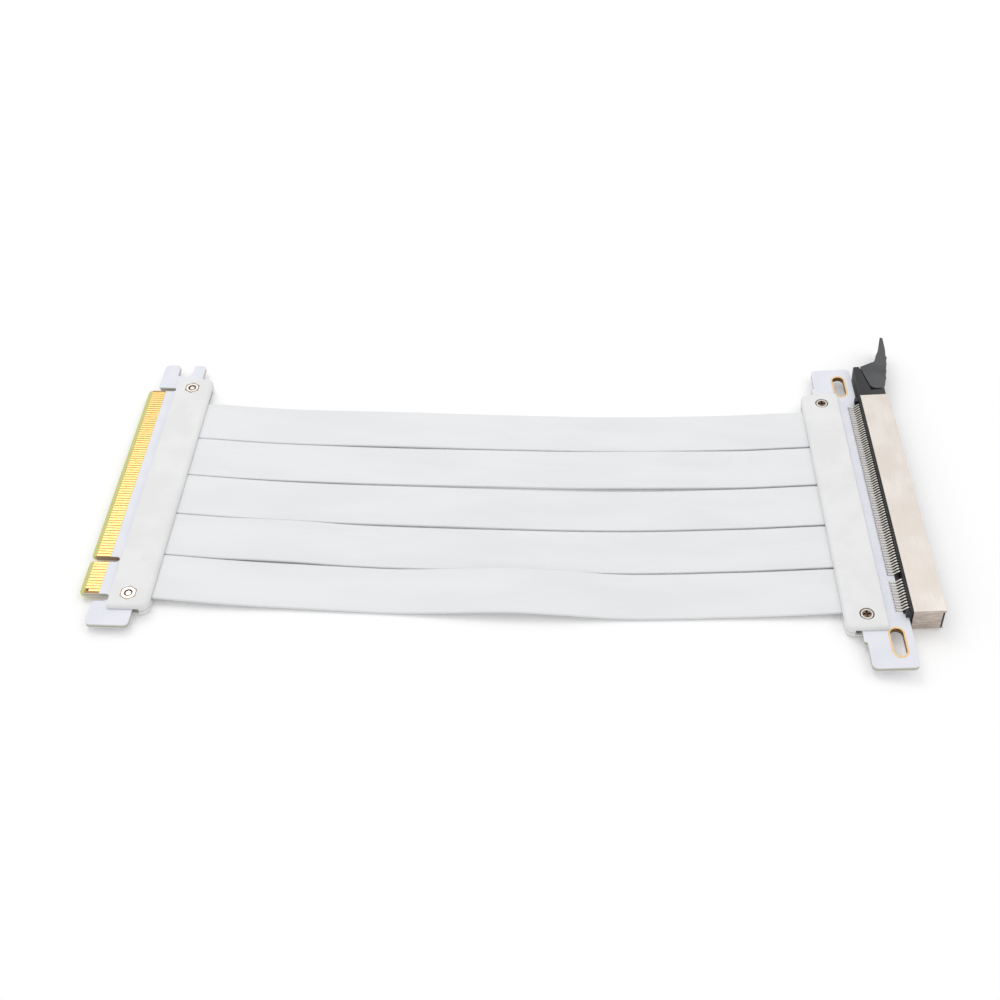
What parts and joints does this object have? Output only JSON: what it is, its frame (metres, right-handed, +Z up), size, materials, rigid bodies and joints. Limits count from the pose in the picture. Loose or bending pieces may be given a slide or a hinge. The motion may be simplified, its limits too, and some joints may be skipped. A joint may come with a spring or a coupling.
{
  "type": "gpu riser cable",
  "caption": "Flat riser cable for a graphics card: a sixteen-lane edge plug and a shielded card slot with a latch, joined by side-by-side ribbons.",
  "frame": {"origin": "middle of the object's box in plan, on the table it lies on", "axes": "+X along the cable from the plug to the slot, +Y towards the latch, +Z up"},
  "size_m": [0.2434, 0.134, 0.0087],
  "materials": {
    "board": "white solder mask on laminate, gold-plated fingers",
    "cover": "fine matt moulding",
    "fastener": "nickel plated",
    "tails": "tinned copper conductors",
    "housing": "moulded black",
    "contact": "plated spring contacts",
    "shell": "folded nickel-plated sheet",
    "latch": "moulded dark grey",
    "ribbon": "soft satin jacket"
  },
  "bodies": {
    "cable": {"male_board": "board", "male_cover_top": "cover", "male_cover_bottom": "cover", "male_screw_near": "fastener", "male_screw_far": "fastener", "male_nut_near": "fastener", "male_nut_far": "fastener", "male_tails_1": "tails", "male_tails_2": "tails", "male_tails_3": "tails", "male_tails_4": "tails", "male_tails_5": "tails", "slot_board": "board", "slot_cover_top": "cover", "slot_cover_bottom": "cover", "slot_screw_near": "fastener", "slot_screw_far": "fastener", "slot_nut_near": "fastener", "slot_nut_far": "fastener", "slot_tails_1": "tails", "slot_tails_2": "tails", "slot_tails_3": "tails", "slot_tails_4": "tails", "slot_tails_5": "tails", "slot_housing": "housing", "contacts_upper": "contact", "contacts_lower": "contact", "slot_shell": "shell", "latch_pin": "fastener", "ribbon_1": "ribbon", "ribbon_2": "ribbon", "ribbon_3": "ribbon", "ribbon_4": "ribbon", "ribbon_5": "ribbon"},
    "latch": {"slot_latch": "latch"}
  },
  "joints": [
    {"name": "latch_swing", "type": "hinge", "parent": "cable", "child": "latch", "pos_m": [0.11586, 0.0444, 0.0046], "axis": [0.1015, 0, -0.9948], "range_deg": [0, 28]}
  ]
}
